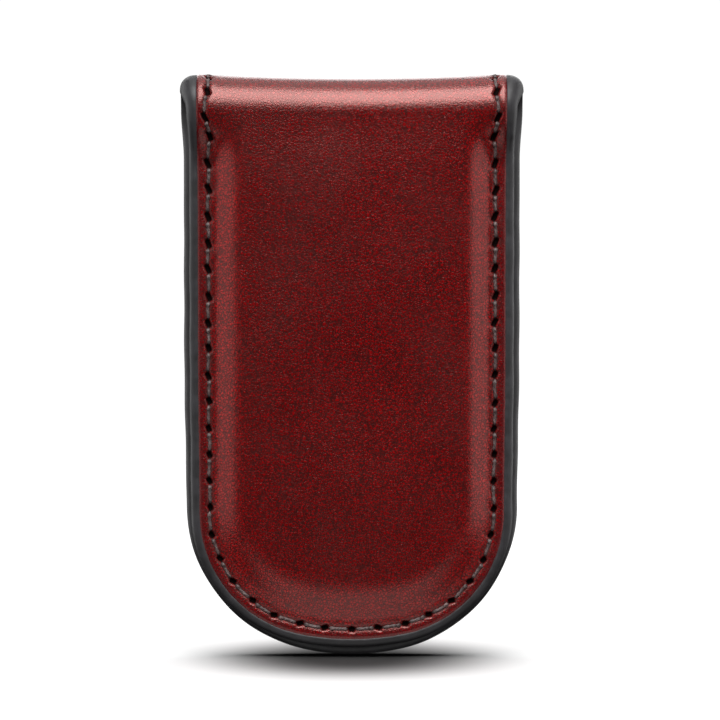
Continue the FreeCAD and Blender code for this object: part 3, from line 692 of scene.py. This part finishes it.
def leather_material(name, base, dark, light, edge, stretched, roughness):
    """Smooth dyed leather with a fine pebbled grain and cloudy colour.

    Its colours are the usual one, the clouds' dark and light, a darker one along the leather's edge, and a
    lighter one on the pads' slopes, which is a painted highlight of the side lights.
    """
    shader = Shader(name)
    place = shader.mark("strip", "Vector")
    clouds = shader.noise(place, 11.0, 4.0, 0.6)
    patches = shader.noise(place, 26.0, 2.0, 0.5)
    creases = grain_creases(shader, place)
    fine = shader.noise(place, 0.19, 3.0, 0.6)
    pores = shader.noise(place, 0.36, 2.0, 0.5)
    tint = shader.mix(shader.ramp(clouds, 0.3, 0.7, 0.35, 1.0), dark, base)
    tint = shader.mix(shader.ramp(patches, 0.45, 0.7, 0.0, 0.6), tint, light)
    # Painted highlight: the pads' slopes are painted lighter where the side lights would shine on them.
    tint = shader.mix(shader.calc("MULTIPLY", shader.mark("slope"), 0.85), tint, stretched)
    grain = shader.calc("MULTIPLY", creases, shader.ramp(fine, 0.3, 0.7, 0.75, 1.0))
    tint = shader.mix(shader.ramp(grain, 0.0, 1.0, 0.85, 0.0), tint, DARK_GRAIN)
    tint = shader.mix(shader.ramp(fine, 0.4, 0.6, 0.75, 0.0), tint, DARK_GRAIN)
    tint = shader.mix(shader.calc("MULTIPLY", shader.mark("rim"), 0.8), tint, edge)
    # Painted shade: black in the holes, darker along the seam.
    tint = shader.mix(shader.ramp(shader.mark("hole"), 0.25, 0.7), tint, PAINTED_HOLE_SHADE)
    height = shader.total((creases, 0.01), (fine, 0.014), (pores, 0.01), (clouds, 0.02))
    rough = shader.ramp(grain, 0.0, 1.0, roughness + 0.06, roughness - 0.02)
    rough = shader.calc("ADD", rough, shader.ramp(clouds, 0.3, 0.7, 0.03, -0.03))
    rough = shader.calc("ADD", rough, shader.ramp(shader.mark("hole"), 0.05, 0.6, 0.0, 0.5))
    shine = shader.ramp(shader.mark("hole"), 0.1, 0.6, 0.8, 0.05)
    gloss = {"Specular_IOR_Level": shine, "Specular_Tint": (1.0, 0.52, 0.48, 1)}
    return shader.finish(Base_Color=tint, Roughness=rough, Normal=shader.bump(height), **gloss)


def paint_material():
    """Black edge paint: burnished smooth, with faint strokes along the edge."""
    shader = Shader("burnished_black_edge")
    place = shader.mark("strip", "Vector")
    strokes = shader.noise(place, 0.35, 3.0, 0.6, (1.0, 0.12, 1.0))
    lumps = shader.noise(place, 2.6, 2.0, 0.5)
    specks = shader.noise(place, 0.16, 2.0, 0.6)
    tint = shader.mix(shader.ramp(lumps, 0.35, 0.7), colour(34, 33, 34), colour(43, 42, 44))
    height = shader.total((strokes, 0.008), (lumps, 0.02), (specks, 0.006))
    rough = shader.ramp(strokes, 0.3, 0.7, 0.44, 0.52)
    soft = {"Specular_IOR_Level": 0.3}
    return shader.finish(Base_Color=tint, Roughness=rough, Normal=shader.bump(height), **soft)


def thread_material():
    """Waxed dark taupe thread with fine fibres that lie along the twist."""
    shader = Shader("waxed_taupe_thread")
    place = shader.mark("strip", "Vector")
    fibres = shader.noise(place, 0.09, 3.0, 0.6, (1.0, 0.4, 1.0))
    lengths = shader.noise(place, 1.4, 2.0, 0.5)
    tint = shader.mix(shader.ramp(fibres, 0.38, 0.66), colour(24, 15, 15), colour(98, 78, 76))
    tint = shader.mix(shader.ramp(lengths, 0.4, 0.6, 0.0, 0.6), tint, colour(48, 33, 32))
    # Painted shade: black where the thread dives into its holes.
    tint = shader.mix(shader.ramp(shader.mark("hole"), 0.1, 0.9), tint, PAINTED_HOLE_SHADE)
    height = shader.total((fibres, 0.03))
    return shader.finish(Base_Color=tint, Roughness=0.55, Normal=shader.bump(height))


def board_material():
    """Grey-brown pressed fibre board."""
    shader = Shader("pressed_fibre_board")
    place = shader.node("ShaderNodeTexCoord").outputs["Object"]
    fibres = shader.noise(place, 1.2 * MM, 5.0, 0.7, (1.0, 1.0, 0.4))
    flecks = shader.noise(place, 0.4 * MM, 2.0, 0.6)
    tint = shader.mix(shader.ramp(fibres, 0.3, 0.7), colour(92, 74, 58), colour(146, 124, 100))
    tint = shader.mix(shader.ramp(flecks, 0.55, 0.75, 0.0, 0.6), tint, colour(60, 48, 38))
    height = shader.total((fibres, 0.08))
    return shader.finish(Base_Color=tint, Roughness=0.85, Normal=shader.bump(height))


def magnet_material():
    """Nickel plate, faintly scuffed."""
    shader = Shader("nickel_plate")
    place = shader.node("ShaderNodeTexCoord").outputs["Object"]
    scuffs = shader.noise(place, 1.5 * MM, 4.0, 0.6, (0.2, 1.0, 1.0))
    tint = shader.mix(shader.ramp(scuffs, 0.3, 0.7), colour(176, 170, 158), colour(206, 200, 188))
    rough = shader.ramp(scuffs, 0.3, 0.7, 0.22, 0.38)
    height = shader.total((scuffs, 0.01))
    return shader.finish(Base_Color=tint, Roughness=rough, Metallic=1.0, Normal=shader.bump(height))


oxblood = leather_material(
    "oxblood_calf",
    base=colour(110, 9, 13),
    dark=colour(99, 8, 12),
    light=colour(119, 11, 14),
    edge=colour(66, 12, 17),
    # The slopes' colour is a painted highlight of the side lights.
    stretched=colour(148, 17, 20),
    roughness=0.24,
)
dark_calf = leather_material(
    "lining_calf",
    base=colour(62, 30, 28),
    dark=colour(44, 20, 20),
    light=colour(74, 38, 34),
    edge=colour(30, 18, 18),
    stretched=colour(62, 30, 28),
    roughness=0.45,
)
black_paint = paint_material()
taupe = thread_material()
fibre_board = board_material()
nickel = magnet_material()


# ---------------------------------------------------------------- joining looks to the frame
def replaced(on_leaf, in_fold, number):
    """CAD nodes that one part's piece stands for; parts are numbered from the back leaf."""
    if number == 3:
        return [f"front_{node}" for node in on_leaf]
    if number == 0:
        return [f"back_{node}" for node in on_leaf] + [f"fold_1_{in_fold}"]
    return [f"fold_{number + 1}_{in_fold}"]


def join(pieces, on_leaf, in_fold, material):
    """Gives each part's piece its material, bakes its placing into its points and hides the CAD nodes that
    it stands for.
    """
    for number, (part, hinge) in enumerate(zip(PARTS, frame["joints"])):
        piece = pieces[part]
        piece.data.materials.append(material)
        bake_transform(piece)
        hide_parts(*replaced(on_leaf, in_fold, number))


join(leather, ["outer_leather"], "outer_leather", oxblood)
join(paint, ["painted_edge"], "painted_edge", black_paint)
join(lining, ["lining"], "lining", dark_calf)
join(thread, ["outer_stitches", "lining_stitches"], "stitches", taupe)

INNER_LOOKS = {"stiffener_board": fibre_board, "lower_magnet": nickel, "upper_magnet": nickel}
for leaf in ("back", "front"):
    for node, look in INNER_LOOKS.items():
        for holder in frame["nodes"][f"{leaf}_{node}"].material_slots:
            holder.material = look


# ---------------------------------------------------------------- studio
def floor():
    """A pale round floor with a painted shadow: the soft dark pool that the clip would leave on a bright
    sweep, painted into the floor's colour.
    """
    mesh = bpy.data.meshes.new("studio_floor")
    radius, sides = 0.3, 96
    turns = [2 * math.pi * step / sides for step in range(sides)]
    rim = [(radius * math.cos(turn), radius * math.sin(turn), 0) for turn in turns]
    mesh.from_pydata(rim, [], [range(sides)])
    plane = bpy.data.objects.new("studio_floor", mesh)
    bpy.context.scene.collection.objects.link(plane)
    shader = Shader("white_sweep")
    place = shader.node("ShaderNodeTexCoord").outputs["Object"]
    shade = shader.ramp(shader.noise(place, 0.02, 2.0, 0.5), 0.3, 0.7)
    tint = shader.mix(shade, (0.86, 0.86, 0.86, 1), (0.88, 0.88, 0.88, 1))
    # Painted shadow: the floor's colour darkens to a dark grey round the clip's foot, in a soft ellipse
    # centred a little in front of it.
    painted_shadow_place = shader.node("ShaderNodeMapping", Vector=place)
    painted_shadow_place.inputs["Location"].default_value = (0, 0.003, 0)
    painted_shadow_place.inputs["Scale"].default_value = (1, 0.95, 1)
    away = shader.node("ShaderNodeVectorMath", {"operation": "LENGTH"})
    shader.set(away.inputs[0], painted_shadow_place.outputs[0])
    lit = shader.calc("POWER", shader.ramp(away.outputs["Value"], 0.004, 0.025), 1.3)
    tint = shader.mix(lit, (0.06, 0.06, 0.06, 1), tint)
    mesh.materials.append(shader.finish(Base_Color=tint, Roughness=0.9, Specular_IOR_Level=0.1))
    plane.visible_glossy = False
    plane.visible_diffuse = False
    return plane


def softbox(name, azimuth, elevation, distance, width, height, power, lit):
    """A rectangular light for the things in one collection, shadowed by the clip alone.

    It faces the clip's middle. Azimuth 0 is in front, 90 on the right. Power is in watts.
    """
    light = bpy.data.lights.new(name, "AREA")
    light.shape = "RECTANGLE"
    light.size = width
    light.size_y = height
    light.energy = power
    thing = bpy.data.objects.new(name, light)
    bpy.context.scene.collection.objects.link(thing)
    side, up = math.radians(azimuth), math.radians(elevation)
    away = Vector((math.sin(side) * math.cos(up), -math.cos(side) * math.cos(up), math.sin(up)))
    thing.location = Vector((0, 0, 0.04)) + distance * away
    thing.rotation_mode = "QUATERNION"
    thing.rotation_quaternion = away.to_track_quat("Z", "Y")
    thing.visible_camera = False
    thing.light_linking.receiver_collection = lit
    thing.light_linking.blocker_collection = clip


def surroundings():
    """White to the eye, dim as a light."""
    world = bpy.data.worlds.new("studio")
    bpy.context.scene.world = world
    world.use_nodes = True
    nodes, links = world.node_tree.nodes, world.node_tree.links
    seen = nodes.new("ShaderNodeBackground")
    seen.inputs["Color"].default_value = (1, 1, 1, 1)
    seen.inputs["Strength"].default_value = 1.05
    dim = nodes["Background"]
    dim.inputs["Color"].default_value = (1, 1, 1, 1)
    dim.inputs["Strength"].default_value = 0.01
    path = nodes.new("ShaderNodeLightPath")
    mixed = nodes.new("ShaderNodeMixShader")
    links.new(path.outputs["Is Camera Ray"], mixed.inputs[0])
    links.new(dim.outputs[0], mixed.inputs[1])
    links.new(seen.outputs[0], mixed.inputs[2])
    links.new(mixed.outputs[0], nodes["World Output"].inputs["Surface"])


def camera():
    """A little above the level of the clip's middle, with a long lens."""
    lens = bpy.data.cameras.new("camera")
    lens.lens = 229.0
    lens.sensor_width = 36.0
    thing = bpy.data.objects.new("camera", lens)
    bpy.context.scene.collection.objects.link(thing)
    target = Vector((1.08, 0, 38.9)) * MM
    distance = 0.6
    up = math.radians(3.5)
    away = Vector((0, -math.cos(up), math.sin(up)))
    thing.location = target + distance * away
    thing.rotation_mode = "QUATERNION"
    thing.rotation_quaternion = away.to_track_quat("Z", "Y")
    bpy.context.scene.camera = thing


surroundings()
camera()
clip = bpy.data.collections.new("clip")
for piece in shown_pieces():
    clip.objects.link(piece)
ground = bpy.data.collections.new("ground")
ground.objects.link(floor())
softbox("left_box", -66, 8, 0.7, 0.6, 0.7, 1.4, clip)
softbox("right_box", 66, 8, 0.7, 0.6, 0.7, 1.75, clip)
softbox("left_rim_box", -117, 10, 0.7, 0.5, 0.7, 2.6, clip)
softbox("right_rim_box", 117, 10, 0.7, 0.5, 0.7, 2.6, clip)
softbox("high_box", 0, 55, 1.2, 1.03, 1.12, 37.0, clip)
softbox("middle_box", 0, 25, 1.2, 0.86, 0.34, 1.6, clip)
softbox("top_box", 180, 74, 0.7, 0.6, 0.6, 1.6, clip)
softbox("back_box", 180, 24, 0.7, 0.6, 0.4, 2.0, clip)
softbox("low_box", 0, -52, 0.3, 0.3, 0.22, 0.22, clip)
softbox("floor_box", 180, 88, 0.8, 1.2, 1.0, 16.0, ground)
bpy.context.scene.view_settings.view_transform = "Standard"
